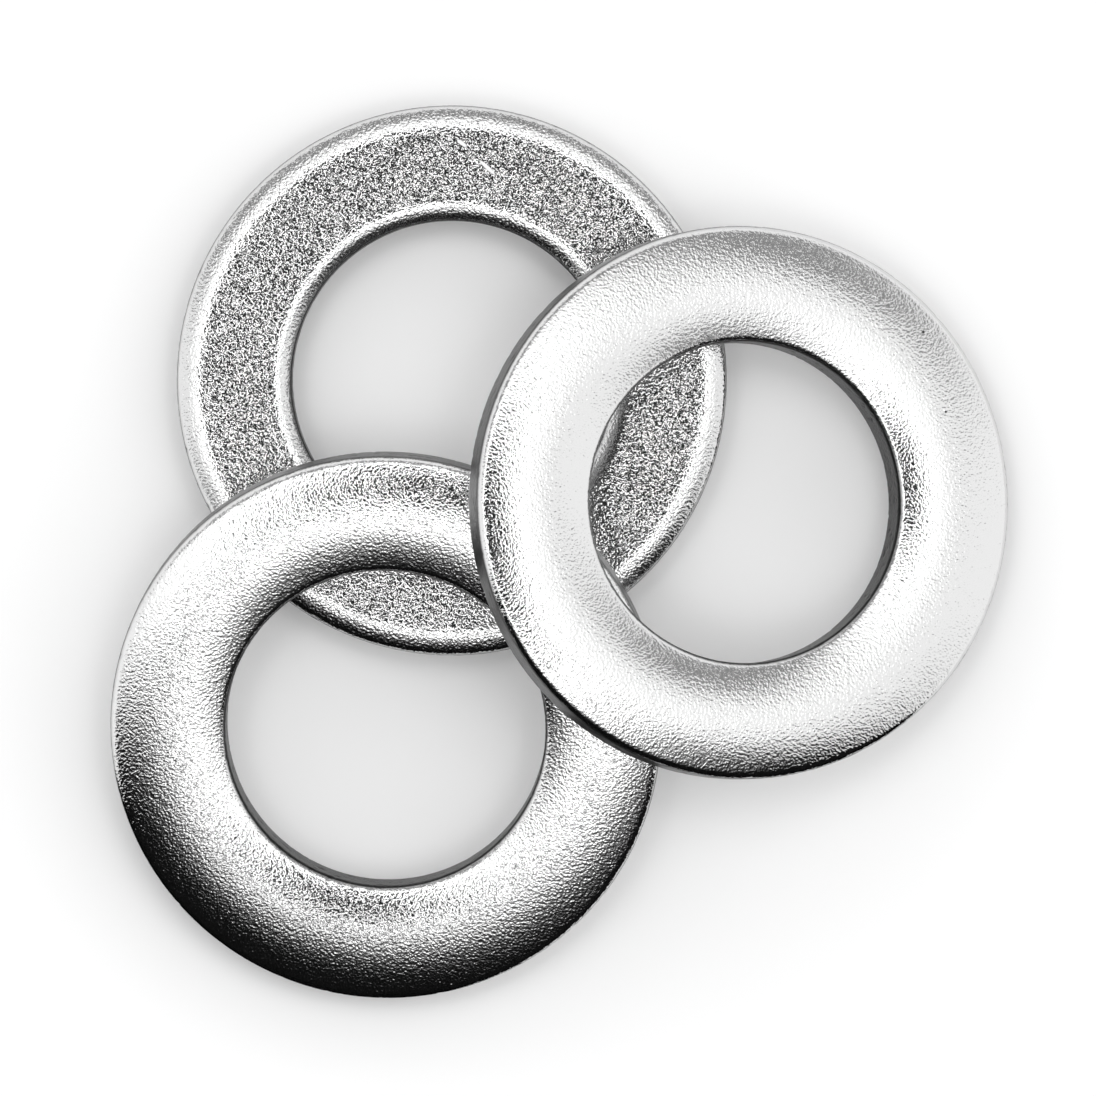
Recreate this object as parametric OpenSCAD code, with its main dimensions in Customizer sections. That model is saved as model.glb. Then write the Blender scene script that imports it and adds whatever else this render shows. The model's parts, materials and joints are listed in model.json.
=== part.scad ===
// Loose heap of three equal flat washers. One lies level with its crowned side down, one leans on it, and the
// third leans on both. The origin is at the middle of the heap's footprint, on the surface it lies on, +Z up.

/* [Washer] */
// Outer diameter
rim_d = 30; // [28:0.5:32]
// Hole diameter
bore_d = 17.4; // [16.6:0.1:18.4]
// Thickness
thickness = 3; // [2.8:0.1:3.4]
// Edge radius of the rim on the flat side
flat_rim_r = 1.15; // [0.8:0.05:1.4]
// Edge radius of the hole on the flat side
flat_bore_r = 1.25; // [0.8:0.05:1.5]
// Width of the crown that runs down to the rim on the other side
crown_rim_w = 2.4; // [1.8:0.1:2.8]
// Width of the crown that runs down to the hole on the other side
crown_bore_w = 2.1; // [1.6:0.1:2.6]
// Radius of the crown's long arc
crown_r = 7.5; // [6:0.5:10]
// Radius of the short arc that turns the crown into the rim or the hole's wall
crown_edge_r = 0.7; // [0.5:0.05:0.9]

/* [Heap] */
// Sideways place of the middle washer's centre, from the bottom washer's
middle_x = -3.52; // [-4.5:0.02:-2.5]
// Forward place of the middle washer's centre, from the bottom washer's
middle_y = -18.58; // [-19.5:0.02:-17.5]
// Sideways place of the top washer's centre, from the bottom washer's
top_x = 15.3; // [14.3:0.02:16.3]
// Forward place of the top washer's centre, from the bottom washer's
top_y = -6.68; // [-7.7:0.02:-5.7]
// Compass direction of the top washer's low side, from +X towards +Y, in degrees
top_low_side = 11.5; // [8:0.5:15]
// Gap left where one washer rests on another
contact_gap = 0.02; // [0.01:0.01:0.05]

/* [Hidden] */
rim_r = rim_d / 2;
bore_r = bore_d / 2;
mid_r = (rim_r + bore_r) / 2;
// Points tested round each edge circle, places tested across a crown, and halvings of the range of leans
edge_steps = 180;
crown_steps = 4;
halvings = 18;
steepest_lean = 35;
// Facets round a washer or a long arc, and round an edge circle
round_steps = 180;
edge_circle_steps = 48;
// How far the wedge that cuts a crown out of its long arc runs past that arc
wedge_margin = 1;

// Inside the section, out is the distance from the axis and up is the height above the flat side.
// The long arc of a crown turns through an angle, then the short arc takes over.
arc_gap = crown_r - crown_edge_r;
function crown_turn(width) = asin((width - crown_edge_r) / arc_gap);
rim_turn = crown_turn(crown_rim_w);
bore_turn = crown_turn(crown_bore_w);
function short_arc_up(turn) = thickness - crown_r + arc_gap * cos(turn);

// Rounded edges as [radius of the circle of their centres, its height, edge radius]
flat_edges = [
    [rim_r - flat_rim_r, flat_rim_r, flat_rim_r],
    [bore_r + flat_bore_r, flat_bore_r, flat_bore_r]
];
crown_edges = [
    [rim_r - crown_edge_r, short_arc_up(rim_turn), crown_edge_r],
    [bore_r + crown_edge_r, short_arc_up(bore_turn), crown_edge_r]
];
// Circles on the surface of the two long arcs, with no edge radius
crown_circles = [
    for (i = [0 : crown_steps])
    for (side = [[rim_r - crown_rim_w, rim_turn], [bore_r + crown_bore_w, -bore_turn]])
    let (turn = side[1] * i / crown_steps)
    [side[0] + crown_r * sin(turn), thickness - crown_r + crown_r * cos(turn), 0]
];

// Distance from a point to the section: negative inside it
function flat_side_distance(past_wall, past_face, r) =
    norm([max(past_wall + r, 0), max(past_face + r, 0)]) + min(max(past_wall, past_face) + r, 0) - r;
function crown_side_distance(past_wall, past_face, width, turn) =
    let (
        from_long = [past_wall + width, past_face + crown_r],
        from_short = from_long - arc_gap * [sin(turn), cos(turn)]
    )
    from_long[0] < 0 ? past_face
    : atan2(from_long[0], from_long[1]) < turn ? norm(from_long) - crown_r
    : from_short[1] > 0 ? norm(from_short) - crown_edge_r
    : past_wall;
function section_distance(out, up) =
    let (
        at_rim = out > mid_r,
        past_wall = at_rim ? out - rim_r : bore_r - out
    )
    up < thickness / 2
    ? flat_side_distance(past_wall, -up, at_rim ? flat_rim_r : flat_bore_r)
    : crown_side_distance(
        past_wall,
        up - thickness,
        at_rim ? crown_rim_w : crown_bore_w,
        at_rim ? rim_turn : bore_turn
    );

// A pose is [x, y, z of the underside's centre, direction of the low side, lean, whether the crown is up]
function base_of(pose) = [pose[0], pose[1], pose[2]];
function axis_of(pose) = [
    sin(pose[4]) * cos(pose[3]),
    sin(pose[4]) * sin(pose[3]),
    cos(pose[4])
];
function low_side_of(pose) = [
    cos(pose[4]) * cos(pose[3]),
    cos(pose[4]) * sin(pose[3]),
    -sin(pose[4])
];
function height_of(pose, up) = pose[5] ? up : thickness - up;
function edge_point(pose, edge, turn) =
    base_of(pose)
    + axis_of(pose) * height_of(pose, edge[1])
    + low_side_of(pose) * edge[0] * cos(turn)
    + [-sin(pose[3]), cos(pose[3]), 0] * edge[0] * sin(turn);
function distance_to(pose, point) =
    let (
        away = point - base_of(pose),
        height = away * axis_of(pose)
    )
    section_distance(norm(away - axis_of(pose) * height), height_of(pose, height));

// Least gap between the edges of one washer and the surface of another
function edges_gap(pose, edges, other) = min([
    for (edge = edges, i = [0 : edge_steps - 1])
    distance_to(other, edge_point(pose, edge, i * 360 / edge_steps)) - edge[2]
]);
function upper_edges_of(pose) = pose[5] ? concat(crown_edges, crown_circles) : flat_edges;
function gap_above(pose, below) =
    min(edges_gap(pose, flat_edges, below), edges_gap(below, upper_edges_of(below), pose));
function gap_above_all(pose, carriers) = min([for (below = carriers) gap_above(pose, below)]);

// A leaning washer has its crown up and stands on the low side of its flat side's rim edge
function standing(x, y, low_side, lean) =
    [x, y, flat_edges[0][0] * sin(lean) + flat_rim_r * (1 - cos(lean)), low_side, lean, true];

// The lean at which the washer just rests on what carries it
function resting_lean(x, y, low_side, carriers, flatter = 0, steeper = steepest_lean, left = halvings) =
    let (
        lean = (flatter + steeper) / 2,
        clear = gap_above_all(standing(x, y, low_side, lean), carriers) > contact_gap
    )
    left == 0
    ? steeper
    : resting_lean(
        x, y, low_side, carriers,
        clear ? flatter : lean,
        clear ? lean : steeper,
        left - 1
    );
function resting(x, y, low_side, carriers) =
    standing(x, y, low_side, resting_lean(x, y, low_side, carriers));

// Poses measured from the bottom washer. The middle one leans straight away from it.
bottom_at = [0, 0, 0, 0, 0, false];
middle_at = resting(middle_x, middle_y, atan2(middle_y, middle_x), [bottom_at]);
top_at = resting(top_x, top_y, top_low_side, [bottom_at, middle_at]);

// Furthest that a washer reaches along a level direction
function reach(pose, towards) =
    let (tip = axis_of(pose) * towards)
    base_of(pose) * towards + max([
        for (edge = [flat_edges[0], crown_edges[0]])
        height_of(pose, edge[1]) * tip + edge[0] * sqrt(1 - tip * tip) + edge[2]
    ]);
function heap_reach(towards) = max([for (pose = [bottom_at, middle_at, top_at]) reach(pose, towards)]);
footprint_middle = [
    (heap_reach([1, 0, 0]) - heap_reach([-1, 0, 0])) / 2,
    (heap_reach([0, 1, 0]) - heap_reach([0, -1, 0])) / 2,
    0
];

// One crown of the section, against the rim or against the hole
module crown(wall_r, outwards, width, turn) {
    short_up = short_arc_up(turn);
    translate([wall_r, thickness - crown_r])
        mirror([outwards ? 0 : 1, 0])
            translate([-width, 0])
                intersection() {
                    circle(r = crown_r, $fn = round_steps);
                    polygon([
                        [0, short_up - thickness + crown_r],
                        [0, crown_r + wedge_margin],
                        (crown_r + wedge_margin) * [sin(turn), cos(turn)],
                        arc_gap * [sin(turn), cos(turn)]
                    ]);
                }
}

module section() {
    rim_up = short_arc_up(rim_turn);
    bore_up = short_arc_up(bore_turn);
    polygon([
        [bore_r, flat_bore_r],
        [bore_r + flat_bore_r, 0],
        [rim_r - flat_rim_r, 0],
        [rim_r, flat_rim_r],
        [rim_r, rim_up],
        [rim_r - crown_rim_w, rim_up],
        [rim_r - crown_rim_w, thickness],
        [bore_r + crown_bore_w, thickness],
        [bore_r + crown_bore_w, bore_up],
        [bore_r, bore_up]
    ]);
    crown(rim_r, true, crown_rim_w, rim_turn);
    crown(bore_r, false, crown_bore_w, bore_turn);
    for (edge = concat(flat_edges, crown_edges))
        translate([edge[0], edge[1]])
            circle(r = edge[2], $fn = edge_circle_steps);
}

module washer_at(pose) {
    translate(base_of(pose) - footprint_middle)
        rotate([0, 0, pose[3]])
            rotate([0, pose[4], 0])
                translate([0, 0, pose[5] ? 0 : thickness])
                    rotate([pose[5] ? 0 : 180, 0, 0])
                        rotate_extrude($fn = round_steps)
                            section();
}

module bottom_washer() {
    color([0.62, 0.62, 0.62])
        washer_at(bottom_at);
}

module middle_washer() {
    color([0.72, 0.72, 0.72])
        washer_at(middle_at);
}

module top_washer() {
    color([0.82, 0.82, 0.82])
        washer_at(top_at);
}

bottom_washer();
middle_washer();
top_washer();
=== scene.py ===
import json
from math import asin, cos, pi, radians, sin, tan

import bpy
from mathutils import Matrix, Vector


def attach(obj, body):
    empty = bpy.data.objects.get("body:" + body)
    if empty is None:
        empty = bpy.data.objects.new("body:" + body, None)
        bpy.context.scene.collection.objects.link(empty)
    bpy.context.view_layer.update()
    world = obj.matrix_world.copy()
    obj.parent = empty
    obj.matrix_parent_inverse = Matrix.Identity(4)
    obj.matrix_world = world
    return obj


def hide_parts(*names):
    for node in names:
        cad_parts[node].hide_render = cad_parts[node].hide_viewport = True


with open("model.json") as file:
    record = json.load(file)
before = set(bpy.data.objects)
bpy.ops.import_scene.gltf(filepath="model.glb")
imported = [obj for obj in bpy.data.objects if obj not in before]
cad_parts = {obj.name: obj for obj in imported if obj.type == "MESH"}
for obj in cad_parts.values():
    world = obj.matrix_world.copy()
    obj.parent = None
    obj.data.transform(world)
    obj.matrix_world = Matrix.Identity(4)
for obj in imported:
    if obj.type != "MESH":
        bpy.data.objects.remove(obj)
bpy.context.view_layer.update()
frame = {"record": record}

MM = 0.001
UP = Vector((0, 0, 1))
# Multiplied by a place, it leaves out the height
LEVEL_PART = (1, 1, 0)

# Section of one washer: a flat side with rounded edges, and a crowned side that curves all the way from the rim to
# the hole. Out is from the washer's axis, up is from its flat side.
RIM_R = 15 * MM
HOLE_R = 8.7 * MM
THICKNESS = 3 * MM
FLAT_SIDE = 0
# Which way a wall faces, from the washer's axis
OUTWARDS = 1
INWARDS = -1
# Each edge is the width of its band, the radius of its long arc and the radius of its short arc
FLAT_RIM = (1.55 * MM, 3 * MM, 0.4 * MM)
FLAT_HOLE = (1.15 * MM, 1.8 * MM, 0.35 * MM)
CROWN_RIM = (3.4 * MM, 12 * MM, 0.5 * MM)
CROWN_HOLE = (2.9 * MM, 9.5 * MM, 0.4 * MM)
# The record's bore mounts sit at this height on the hole's wall, from the flat side
WALL_MIDDLE = 1.702 * MM
STEPS_ROUND = 600
STEPS_ACROSS = 160
STEPS_ON_ARC = 16
# Points nearer than this are joined where the swept sheet meets itself
SEAM_GAP = 0.002 * MM
# Distances from the hole's wall at which the hole's own finish and its darker painted shade begin and are full
HOLE_FINISH_AND_SHADE_FROM = 1.8 * MM
HOLE_FINISH_AND_SHADE_FULL = 0.8 * MM

# Wear that only takes metal away: shallow dimples from tumbling, an edge that wanders, and small nicks on it. Each
# scale is 1 over the size of a ripple.
WEAR = {
    "Dimple depth": 0.002 * MM,
    "Dimple scale": 1 / (0.9 * MM),
    "Edge wander": 0.01 * MM,
    "Edge wander scale": 1 / (3.5 * MM),
    "Nick depth": 0.05 * MM,
    "Nick scale": 1 / (0.45 * MM),
}
# A nick bites where its ripple, from 0 to 1, passes the first value, and is full at the second
NICK_FROM = 0.58
NICK_FULL = 0.74
# Nicks begin where the surface has turned this far into a wall, from 0 to 1, and are full at the second value
NICKED_EDGE_FROM = 0.1
NICKED_EDGE_FULL = 0.4

# Finish of the steel. The faces are bright, and the walls turn duller and darker from one value to the other of how
# far the surface has turned into a wall: the duller finish is the sheared walls', the darker colour is painted
# shade. In the hole it counts as turned further by the third value.
DULL_AND_SHADE_FROM = 0.4
DULL_AND_SHADE_FULL = 0.7
HOLE_DULLS_AND_SHADES_SOONER = 0.28
FACE_ROUGHNESS = 0.1
WALL_ROUGHNESS = 0.35
# Painted shade: the walls' darker colour, lighter on the rim's walls and darkest in the hole
RIM_WALL_SHADE_COLOUR = "#646464"
HOLE_WALL_SHADE_COLOUR = "#303030"
SCUFF_COLOUR = "#F0F0F0"
SCUFF_ROUGHNESS = 0.4
SCUFF_RELIEF = 0.15
PIT_COLOUR = "#2C2C2C"
PIT_ROUGHNESS = 0.6
# A scuff or pit is full within this part of its reach, and fades to nothing at its edge
BLOT_CORE = 0.6
# The grain that tumbling leaves is too fine for the picture, so it is drawn as coarse as it needs to show
GRAIN_SIZE = 0.14 * MM
GRAIN_DEPTH = 0.03 * MM

# Scuffs and pits as (centre x and y, turn in degrees, half length and half width), in mm
BOTTOM_SCUFFS = (((-5.31, 22.29), -37, (0.41, 0.13)), ((-3.92, 20.96), -43, (0.72, 0.13)))
TOP_PITS = (((19.79, 12.02), 0, (0.11, 0.08)), ((21.02, 7.68), 0, (0.08, 0.08)))
# Each washer's place, tint, strength of grain, seed of its wear, scuffs and pits
WASHERS = (
    ("bottom", "#CFCFCF", 1, 3, BOTTOM_SCUFFS, ()),
    ("middle", "#D6D6D6", 0.95, 11, (), ()),
    ("top", "#D4D4D4", 0.8, 27, (), TOP_PITS),
)

# Sheet of paper under the heap, its half width in metres
FLOOR_REACH = 3
PAPER_COLOUR = "#FCFCFC"

# Camera above the heap, leaning about 1.5 degrees. Its distance and the width that it sees are in mm.
LOOK_AT = Vector((-0.649, 0.180, 0)) * MM
LEAN_RIGHT = 0.425
LEAN_BACK = 1.41
CAMERA_WAY = Vector((tan(radians(LEAN_RIGHT)), tan(radians(LEAN_BACK)), 1)).normalized()
CAMERA_AWAY = 550
SEEN_WIDTH = 60.04
SENSOR_WIDTH = 36

# Brightness of the room by the height of a direction, from 0 for level to 1 for straight up: grey walls, a dark band
# above them, and a wide soft light overhead with a dimmer ring round it
ROOM_LEVELS = ((0, 0.45), (0.17, 0.45), (0.42, 0.42), (0.62, 0.13), (0.785, 0.12), (0.80, 0.47), (0.88, 0.47),
               (0.92, 0.8), (0.94, 1))
# The light has a gap round the lens, full within the first angle and gone past the second, in degrees
LENS_GAP_FULL = 11
LENS_GAP_ENDS = 16
LENS_GAP_LEVEL = 0.01
# A pale wall on each side, full within the first angle from the X axis and gone past the second, in degrees
SIDE_WALL_FULL = 16
SIDE_WALL_ENDS = 26
SIDE_WALL_LEVEL = 0.46
# More light comes from the right and from behind
LIGHT_SLANT = (0.25, 0.5, 0)
ROOM_STRENGTH = 2.75

# Black card that lies on the floor in front of the heap, bends up and round it, and fades out towards its top. Only
# the steel's reflections see it: it gives them their dark edges.
CARD_NEAR = 26 * MM
CARD_R = 52 * MM
CARD_LOW = 0.05 * MM
CARD_TOP = 118 * MM
CARD_FADES_FROM = 40 * MM
CARD_FADE_POWER = 1.5
CARD_FROM = 205
CARD_TO = 331
CARD_STEPS = 40
CARD_SECTION = ((CARD_NEAR, CARD_LOW), (CARD_R, CARD_LOW), (CARD_R, CARD_TOP))
CARD_COLOUR = "#0A0A0A"


def linear(hex_colour):
    """Turns an sRGB hex colour into linear RGBA."""
    values = [int(hex_colour[i:i + 2], 16) / 255 for i in (1, 3, 5)]
    return tuple(v / 12.92 if v <= 0.04045 else ((v + 0.055) / 1.055) ** 2.4 for v in values) + (1,)


def add(tree, kind, inputs=None, **settings):
    """Adds a node, sets its properties, then fills each input with a value or a link."""
    node = tree.nodes.new(kind)
    for name, value in settings.items():
        setattr(node, name, value)
    for key, value in (inputs or {}).items():
        socket = node.inputs[key]
        if isinstance(value, bpy.types.NodeSocket):
            tree.links.new(value, socket)
        else:
            socket.default_value = value
    return node


def empty_tree(owner):
    """Gives a material or the world an empty node tree."""
    owner.use_nodes = True
    owner.node_tree.nodes.clear()
    return owner.node_tree


def put_in_scene(name, data):
    """Makes an object of a mesh or a camera."""
    thing = bpy.data.objects.new(name, data)
    bpy.context.collection.objects.link(thing)
    return thing


def edge_corners(wall, facing, side, width, long_r, short_r):
    """Corners of the straight-sided outline whose rounding gives an edge its long and its short arc."""
    turn = asin((width - short_r) / (long_r - short_r))
    long_reach = long_r * tan(turn / 2)
    drop = (long_reach + short_r * tan(pi / 4 - turn / 2)) * sin(turn)
    shoulder = (wall + facing * (long_reach - width), side, long_r)
    return shoulder, (wall, abs(side - drop), short_r)


hole_ledge, hole_foot = edge_corners(HOLE_R, INWARDS, FLAT_SIDE, *FLAT_HOLE)
rim_ledge, rim_foot = edge_corners(RIM_R, OUTWARDS, FLAT_SIDE, *FLAT_RIM)
rim_shoulder, rim_brow = edge_corners(RIM_R, OUTWARDS, THICKNESS, *CROWN_RIM)
hole_shoulder, hole_brow = edge_corners(HOLE_R, INWARDS, THICKNESS, *CROWN_HOLE)
# Each corner is (out, up, rounding radius), in order round the section
SECTION = {
    "Hole foot": hole_foot,
    "Hole ledge": hole_ledge,
    "Rim ledge": rim_ledge,
    "Rim foot": rim_foot,
    "Rim brow": rim_brow,
    "Rim shoulder": rim_shoulder,
    "Hole shoulder": hole_shoulder,
    "Hole brow": hole_brow,
}


def washer_tree(steel):
    """A section rounded at its corners, swept round the axis, and worn a little inwards."""
    tree = bpy.data.node_groups.new("stamped_washer", "GeometryNodeTree")
    ports = tree.interface
    ports.new_socket("Geometry", in_out="OUTPUT", socket_type="NodeSocketGeometry")
    for names, kind in ((SECTION, "NodeSocketVector"), (("Steps round", "Steps across", "Seed"), "NodeSocketInt"),
                        (WEAR, "NodeSocketFloat")):
        for name in names:
            ports.new_socket(name, in_out="INPUT", socket_type=kind)
    given = add(tree, "NodeGroupInput").outputs

    # The corners become a closed outline, and each is rounded with its own radius. The switch's first input is its
    # index.
    index = add(tree, "GeometryNodeInputIndex").outputs[0]
    corner = add(tree, "GeometryNodeIndexSwitch", {"Index": index}, data_type="VECTOR")
    while len(corner.index_switch_items) < len(SECTION):
        corner.index_switch_items.new()
    for i, name in enumerate(SECTION, start=1):
        tree.links.new(given[name], corner.inputs[i])
    parts = add(tree, "ShaderNodeSeparateXYZ", {0: corner.outputs[0]}).outputs
    spot = add(tree, "ShaderNodeCombineXYZ", {0: parts[0], 2: parts[1]}).outputs[0]
    points = add(tree, "GeometryNodePoints", {"Count": len(SECTION), "Position": spot}).outputs[0]
    keep_radius = add(tree, "GeometryNodeStoreNamedAttribute",
                      {"Geometry": points, "Name": "rounding", "Value": parts[2]}, data_type="FLOAT").outputs[0]
    outline = add(tree, "GeometryNodePointsToCurves", {"Points": keep_radius}).outputs[0]
    closed = add(tree, "GeometryNodeSetSplineCyclic", {"Geometry": outline, "Cyclic": True}).outputs[0]
    rounding = add(tree, "GeometryNodeInputNamedAttribute", {"Name": "rounding"}, data_type="FLOAT").outputs[0]
    rounded = add(tree, "GeometryNodeFilletCurve",
                  {"Curve": closed, "Radius": rounding, "Count": STEPS_ON_ARC, "Limit Radius": False},
                  mode="POLY").outputs[0]

    # A sheet wrapped round the axis: its length is the turn, its width is the way round the section. It lies about
    # its own middle, so half its width is added to count round the section from 0.
    columns = add(tree, "ShaderNodeMath", {0: given["Steps round"], 1: 1}, operation="ADD").outputs[0]
    rows = add(tree, "ShaderNodeMath", {0: given["Steps across"], 1: 1}, operation="ADD").outputs[0]
    sheet = add(tree, "GeometryNodeMeshGrid",
                {"Size X": 1, "Size Y": 1, "Vertices X": columns, "Vertices Y": rows}).outputs[0]
    flat = add(tree, "ShaderNodeSeparateXYZ", {0: add(tree, "GeometryNodeInputPosition").outputs[0]}).outputs
    along = add(tree, "ShaderNodeMath", {0: flat[1], 1: 0.5}, operation="ADD").outputs[0]
    on_section = add(tree, "GeometryNodeSampleCurve", {"Curves": rounded, "Factor": along}, mode="FACTOR")
    angle = add(tree, "ShaderNodeMath", {0: flat[0], 1: 2 * pi}, operation="MULTIPLY").outputs[0]
    swept = add(tree, "ShaderNodeVectorRotate", {"Vector": on_section.outputs["Position"], "Angle": angle},
                rotation_type="Z_AXIS").outputs[0]
    wrapped = add(tree, "GeometryNodeSetPosition", {"Geometry": sheet, "Position": swept}).outputs[0]
    joined = add(tree, "GeometryNodeMergeByDistance", {"Geometry": wrapped, "Distance": SEAM_GAP}).outputs[0]

    # The steel's finish and the shade painted on its walls follow how far the surface turns away from the two faces,
    # 1 on the walls, and whether it belongs to the hole
    upright = add(tree, "ShaderNodeSeparateXYZ", {0: add(tree, "GeometryNodeInputNormal").outputs[0]}).outputs[2]
    level = add(tree, "ShaderNodeMath", {0: upright}, operation="ABSOLUTE").outputs[0]
    wall = add(tree, "ShaderNodeMath", {0: 1, 1: level}, operation="SUBTRACT").outputs[0]
    place = add(tree, "GeometryNodeInputPosition").outputs[0]
    around = add(tree, "ShaderNodeVectorMath", {0: place, 1: LEVEL_PART}, operation="MULTIPLY").outputs[0]
    out = add(tree, "ShaderNodeVectorMath", {0: around}, operation="LENGTH").outputs["Value"]
    by_hole = add(tree, "ShaderNodeMapRange",
                  {"Value": out, "From Min": HOLE_R + HOLE_FINISH_AND_SHADE_FROM,
                   "From Max": HOLE_R + HOLE_FINISH_AND_SHADE_FULL}).outputs[0]
    marked = joined
    for name, value in (("wall", wall), ("hole", by_hole)):
        marked = add(tree, "GeometryNodeStoreNamedAttribute",
                     {"Geometry": marked, "Name": name, "Value": value}, data_type="FLOAT").outputs[0]

    # Wear: the dimples and the wander are everywhere, the nicks only where the surface turns into a wall
    seed = add(tree, "ShaderNodeCombineXYZ", {0: given["Seed"], 1: given["Seed"]}).outputs[0]
    ripples = {}
    for name in ("Dimple", "Edge wander", "Nick"):
        scaled = add(tree, "ShaderNodeVectorMath", {0: place, "Scale": given[name + " scale"]},
                     operation="SCALE").outputs[0]
        moved = add(tree, "ShaderNodeVectorMath", {0: scaled, 1: seed}, operation="ADD").outputs[0]
        ripples[name] = add(tree, "ShaderNodeTexNoise", {"Vector": moved, "Scale": 1, "Detail": 2}).outputs[0]
    dimple = add(tree, "ShaderNodeMath", {0: ripples["Dimple"], 1: given["Dimple depth"]},
                 operation="MULTIPLY").outputs[0]
    wander = add(tree, "ShaderNodeMath", {0: ripples["Edge wander"], 1: given["Edge wander"]},
                 operation="MULTIPLY").outputs[0]
    bite = add(tree, "ShaderNodeMapRange",
               {"Value": ripples["Nick"], "From Min": NICK_FROM, "From Max": NICK_FULL}).outputs[0]
    on_edge = add(tree, "ShaderNodeMapRange",
                  {"Value": wall, "From Min": NICKED_EDGE_FROM, "From Max": NICKED_EDGE_FULL}).outputs[0]
    bitten = add(tree, "ShaderNodeMath", {0: bite, 1: on_edge}, operation="MULTIPLY").outputs[0]
    nick = add(tree, "ShaderNodeMath", {0: bitten, 1: given["Nick depth"]}, operation="MULTIPLY").outputs[0]
    shallow = add(tree, "ShaderNodeMath", {0: dimple, 1: wander}, operation="ADD").outputs[0]
    deep = add(tree, "ShaderNodeMath", {0: shallow, 1: nick}, operation="ADD").outputs[0]
    inwards = add(tree, "ShaderNodeMath", {0: deep, 1: -1}, operation="MULTIPLY").outputs[0]
    facing = add(tree, "GeometryNodeInputNormal").outputs[0]
    shift = add(tree, "ShaderNodeVectorMath", {0: facing, "Scale": inwards}, operation="SCALE").outputs[0]
    worn = add(tree, "GeometryNodeSetPosition", {"Geometry": marked, "Offset": shift}).outputs[0]
    smooth = add(tree, "GeometryNodeSetShadeSmooth", {"Geometry": worn}).outputs[0]
    real = add(tree, "GeometryNodeRealizeInstances", {"Geometry": smooth}).outputs[0]
    finished = add(tree, "GeometryNodeSetMaterial", {"Geometry": real, "Material": steel}).outputs[0]
    add(tree, "NodeGroupOutput", {0: finished})
    return tree


def make_washer(name, tree, seed):
    """Runs the tree, and puts the plain mesh where the record's bore mount says."""
    holder = put_in_scene(name + "_maker", bpy.data.meshes.new(name + "_maker"))
    maker = holder.modifiers.new("washer", "NODES")
    maker.node_group = tree
    values = {**SECTION, **WEAR, "Steps round": STEPS_ROUND, "Steps across": STEPS_ACROSS, "Seed": seed}
    for item in tree.interface.items_tree:
        if item.in_out == "INPUT":
            maker[item.identifier] = values[item.name]
    bpy.context.view_layer.update()
    mesh = bpy.data.meshes.new_from_object(holder.evaluated_get(bpy.context.evaluated_depsgraph_get()))
    bpy.data.objects.remove(holder)

    mount = next(m for m in frame["record"]["mounts"] if m["name"] == name + "_bore")
    axis = Vector(mount["axis"])
    if axis.z < 0:
        # The crown faces down, so the washer is turned right over
        turn = Matrix.Rotation(pi, 4, "X")
    else:
        turn = UP.rotation_difference(axis).to_matrix().to_4x4()
    mesh.transform(Matrix.Translation(Vector(mount["pos_m"]) - axis * WALL_MIDDLE) @ turn)
    mesh.name = name + "_steel"
    return put_in_scene(name + "_steel", mesh)


def blot(tree, place, centre, turn, reach):
    """1 inside an ellipse on the surface, seen from above, and 0 outside it."""
    level_place = add(tree, "ShaderNodeVectorMath", {0: place, 1: LEVEL_PART}, operation="MULTIPLY").outputs[0]
    local = add(tree, "ShaderNodeMapping",
                {"Vector": level_place, "Location": (centre[0] * MM, centre[1] * MM, 0),
                 "Rotation": (0, 0, radians(turn)), "Scale": (reach[0] * MM, reach[1] * MM, 1)},
                vector_type="TEXTURE").outputs[0]
    away = add(tree, "ShaderNodeVectorMath", {0: local}, operation="LENGTH").outputs["Value"]
    return add(tree, "ShaderNodeMapRange", {"Value": away, "From Min": 1, "From Max": BLOT_CORE}).outputs[0]


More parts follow.
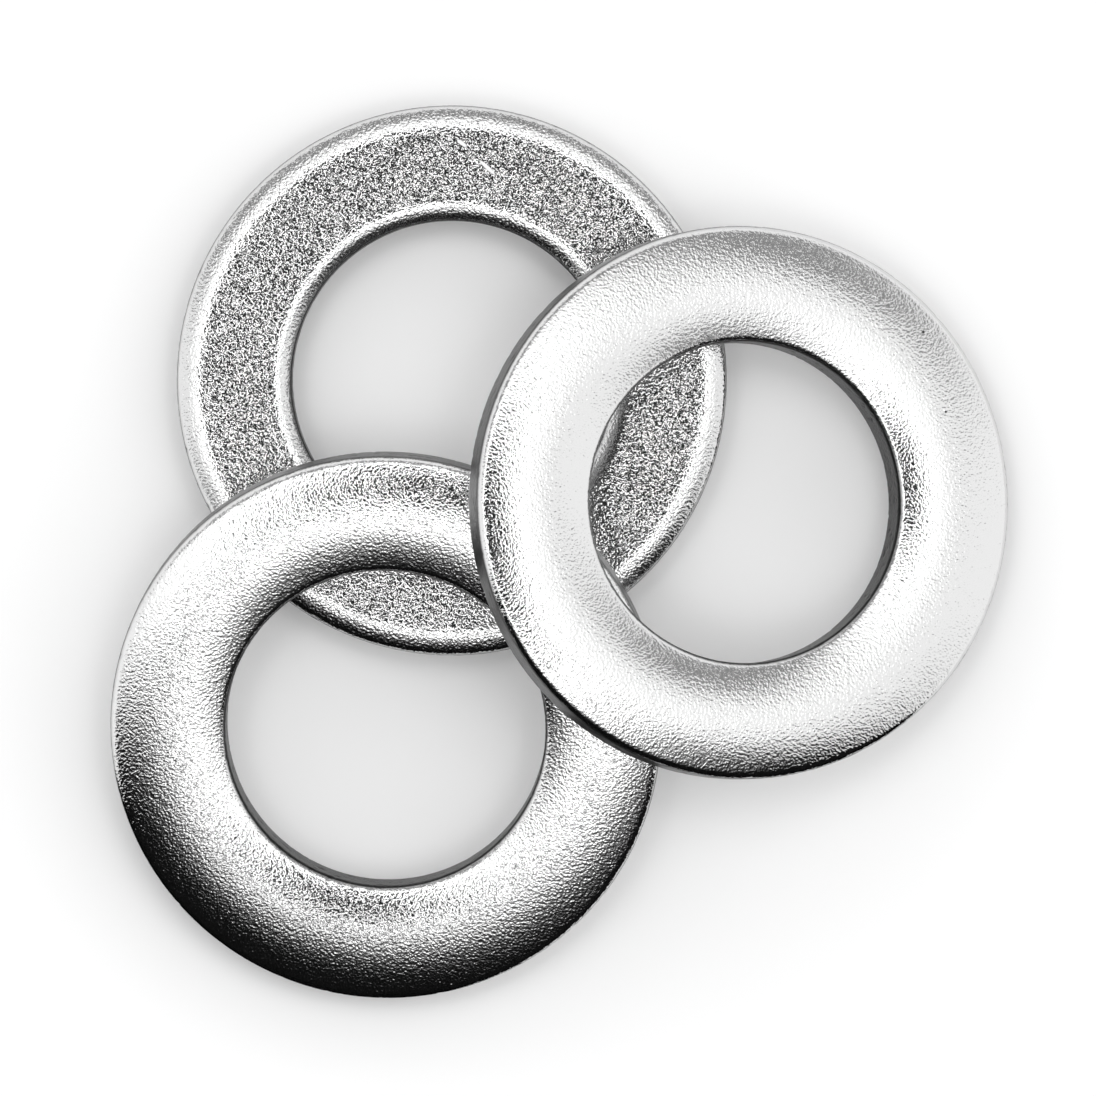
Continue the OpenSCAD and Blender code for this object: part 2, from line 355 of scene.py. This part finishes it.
def tumbled_stainless(name, tint, grain_relief, scuffs, pits):
    """Stainless steel, stamped and then tumbled: a fine worm-like grain with tiny bright and dark facets.

    The grain's relief runs from 0 to 1. Scuffs and pits are as the tables of them say.
    """
    material = bpy.data.materials.new(name)
    tree = empty_tree(material)
    place = add(tree, "ShaderNodeTexCoord").outputs["Object"]
    # The punch shears the walls, which stay duller than the rolled faces. Their darker colour is painted shade:
    # lighter on the rim's walls, darkest in the hole, where it starts higher up the edge.
    wall = add(tree, "ShaderNodeAttribute", attribute_name="wall").outputs["Fac"]
    in_hole = add(tree, "ShaderNodeAttribute", attribute_name="hole").outputs["Fac"]
    turned = add(tree, "ShaderNodeMath", {0: in_hole, 1: HOLE_DULLS_AND_SHADES_SOONER, 2: wall},
                 operation="MULTIPLY_ADD").outputs[0]
    dull_and_shaded = add(tree, "ShaderNodeMapRange",
                  {"Value": turned, "From Min": DULL_AND_SHADE_FROM, "From Max": DULL_AND_SHADE_FULL}).outputs[0]
    # Painted shade on the walls, darkest in the hole
    painted_wall_shade = add(tree, "ShaderNodeMix",
                         {"Factor": in_hole, 6: linear(RIM_WALL_SHADE_COLOUR), 7: linear(HOLE_WALL_SHADE_COLOUR)},
                         data_type="RGBA").outputs[2]
    colour = add(tree, "ShaderNodeMix", {"Factor": dull_and_shaded, 6: linear(tint), 7: painted_wall_shade},
                 data_type="RGBA").outputs[2]
    roughness = add(tree, "ShaderNodeMapRange",
                    {"Value": dull_and_shaded, "To Min": FACE_ROUGHNESS, "To Max": WALL_ROUGHNESS}).outputs[0]
    relief = grain_relief
    # A scuff has wiped the grain flat and leaves a soft light streak
    for centre, turn, reach in scuffs:
        inside = blot(tree, place, centre, turn, reach)
        colour = add(tree, "ShaderNodeMix", {"Factor": inside, 6: colour, 7: linear(SCUFF_COLOUR)},
                     data_type="RGBA").outputs[2]
        roughness = add(tree, "ShaderNodeMapRange",
                        {"Value": inside, "To Min": roughness, "To Max": SCUFF_ROUGHNESS}).outputs[0]
        relief = add(tree, "ShaderNodeMapRange",
                     {"Value": inside, "To Min": relief, "To Max": SCUFF_RELIEF}).outputs[0]
    # A pit is a dark dull speck
    for centre, turn, reach in pits:
        inside = blot(tree, place, centre, turn, reach)
        colour = add(tree, "ShaderNodeMix", {"Factor": inside, 6: colour, 7: linear(PIT_COLOUR)},
                     data_type="RGBA").outputs[2]
        roughness = add(tree, "ShaderNodeMapRange",
                        {"Value": inside, "To Min": roughness, "To Max": PIT_ROUGHNESS}).outputs[0]
    grain = add(tree, "ShaderNodeTexNoise",
                {"Vector": place, "Scale": 1 / GRAIN_SIZE, "Detail": 1, "Roughness": 0.5}).outputs[0]
    bump = add(tree, "ShaderNodeBump", {"Height": grain, "Strength": relief, "Distance": GRAIN_DEPTH}).outputs[0]
    steel = add(tree, "ShaderNodeBsdfPrincipled",
                {"Base Color": colour, "Metallic": 1, "Roughness": roughness, "Normal": bump}).outputs[0]
    add(tree, "ShaderNodeOutputMaterial", {"Surface": steel})
    return material


# Washers
for which, tint, grain_relief, seed, scuffs, pits in WASHERS:
    steel = tumbled_stainless(which + "_steel", tint, grain_relief, scuffs, pits)
    washer = make_washer(which + "_washer", washer_tree(steel), seed)
    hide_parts(which + "_washer")
    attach(washer, "root")

# Floor of matt white paper
floor_corners = [(x * FLOOR_REACH, y * FLOOR_REACH, 0) for x, y in ((-1, -1), (1, -1), (1, 1), (-1, 1))]
floor_mesh = bpy.data.meshes.new("studio_floor")
floor_mesh.from_pydata(floor_corners, [], [(0, 1, 2, 3)])
floor = put_in_scene("studio_floor", floor_mesh)
paper = bpy.data.materials.new("white_paper")
tree = empty_tree(paper)
matt = add(tree, "ShaderNodeBsdfDiffuse", {"Color": linear(PAPER_COLOUR)}).outputs[0]
add(tree, "ShaderNodeOutputMaterial", {"Surface": matt})
floor_mesh.materials.append(paper)

# Camera
camera_data = bpy.data.cameras.new("camera")
camera = put_in_scene("camera", camera_data)
camera.location = LOOK_AT + CAMERA_WAY * CAMERA_AWAY * MM
image_right = Vector((0, 1, 0)).cross(CAMERA_WAY).normalized()
image_up = CAMERA_WAY.cross(image_right)
camera.rotation_euler = Matrix((image_right, image_up, CAMERA_WAY)).transposed().to_euler()
camera_data.sensor_width = SENSOR_WIDTH
camera_data.lens = SENSOR_WIDTH * CAMERA_AWAY / SEEN_WIDTH
camera_data.clip_start = 0.01
bpy.context.scene.camera = camera

# Room
world = bpy.data.worlds.new("studio")
bpy.context.scene.world = world
tree = empty_tree(world)
way = add(tree, "ShaderNodeTexCoord").outputs["Generated"]
off_lens = add(tree, "ShaderNodeVectorMath", {0: way, 1: CAMERA_WAY}, operation="DOT_PRODUCT").outputs["Value"]
lens_gap = add(tree, "ShaderNodeMapRange",
               {"Value": off_lens, "From Min": cos(radians(LENS_GAP_ENDS)), "From Max": cos(radians(LENS_GAP_FULL)),
                "To Min": 1, "To Max": LENS_GAP_LEVEL}, interpolation_type="SMOOTHSTEP").outputs[0]
across, behind, height = add(tree, "ShaderNodeSeparateXYZ", {0: way}).outputs
room = add(tree, "ShaderNodeValToRGB", {"Fac": height})
ramp = room.color_ramp
for at_height, grey in ROOM_LEVELS:
    stop = ramp.elements[0] if at_height == 0 else ramp.elements.new(at_height)
    stop.position = at_height
    stop.color = (grey, grey, grey, 1)
# Which side a direction points at comes from its level part alone
level_way = add(tree, "ShaderNodeCombineXYZ", {0: across, 1: behind}).outputs[0]
level_unit = add(tree, "ShaderNodeVectorMath", {0: level_way}, operation="NORMALIZE").outputs[0]
sideways = add(tree, "ShaderNodeMath", {0: add(tree, "ShaderNodeSeparateXYZ", {0: level_unit}).outputs[0]},
               operation="ABSOLUTE").outputs[0]
side_wall = add(tree, "ShaderNodeMapRange",
                {"Value": sideways, "From Min": cos(radians(SIDE_WALL_ENDS)),
                 "From Max": cos(radians(SIDE_WALL_FULL)), "To Max": SIDE_WALL_LEVEL},
                interpolation_type="SMOOTHSTEP").outputs[0]
brightest = add(tree, "ShaderNodeMath", {0: room.outputs[0], 1: side_wall}, operation="MAXIMUM").outputs[0]
# Reflections don't see the slant
towards_light = add(tree, "ShaderNodeVectorMath", {0: way, 1: LIGHT_SLANT}, operation="DOT_PRODUCT").outputs["Value"]
mirrored = add(tree, "ShaderNodeLightPath").outputs["Is Glossy Ray"]
extra = add(tree, "ShaderNodeMapRange", {"Value": mirrored, "To Min": towards_light, "To Max": 0}).outputs[0]
slant = add(tree, "ShaderNodeMath", {0: extra, 1: 1}, operation="ADD").outputs[0]
slanted = add(tree, "ShaderNodeMath", {0: brightest, 1: slant}, operation="MULTIPLY").outputs[0]
level = add(tree, "ShaderNodeMath", {0: lens_gap, 1: slanted}, operation="MULTIPLY").outputs[0]
strength = add(tree, "ShaderNodeMath", {0: level, 1: ROOM_STRENGTH}, operation="MULTIPLY").outputs[0]
add(tree, "ShaderNodeOutputWorld",
    {"Surface": add(tree, "ShaderNodeBackground", {"Color": (1, 1, 1, 1), "Strength": strength}).outputs[0]})

# Black card
card_corners = []
for i in range(CARD_STEPS + 1):
    angle = radians(CARD_FROM + (CARD_TO - CARD_FROM) * i / CARD_STEPS)
    card_corners += [(out * cos(angle), out * sin(angle), up) for out, up in CARD_SECTION]
next_step = len(CARD_SECTION)
card_faces = []
for i in range(CARD_STEPS):
    for strip in range(len(CARD_SECTION) - 1):
        here = next_step * i + strip
        card_faces.append((here, here + 1, here + 1 + next_step, here + next_step))
card_mesh = bpy.data.meshes.new("black_card")
card_mesh.from_pydata(card_corners, [], card_faces)
card = put_in_scene("black_card", card_mesh)
card.visible_camera = False
card.visible_diffuse = False
card.visible_shadow = False
felt = bpy.data.materials.new("black_felt")
tree = empty_tree(felt)
black = add(tree, "ShaderNodeBsdfDiffuse", {"Color": linear(CARD_COLOUR)}).outputs[0]
clear = add(tree, "ShaderNodeBsdfTransparent").outputs[0]
above_floor = add(tree, "ShaderNodeSeparateXYZ", {0: add(tree, "ShaderNodeTexCoord").outputs["Object"]}).outputs[2]
climb = add(tree, "ShaderNodeMapRange",
            {"Value": above_floor, "From Min": CARD_FADES_FROM, "From Max": CARD_TOP}).outputs[0]
fade = add(tree, "ShaderNodeMath", {0: climb, 1: CARD_FADE_POWER}, operation="POWER").outputs[0]
add(tree, "ShaderNodeOutputMaterial",
    {"Surface": add(tree, "ShaderNodeMixShader", {0: fade, 1: black, 2: clear}).outputs[0]})
card_mesh.materials.append(felt)

bpy.context.scene.view_settings.view_transform = "Standard"
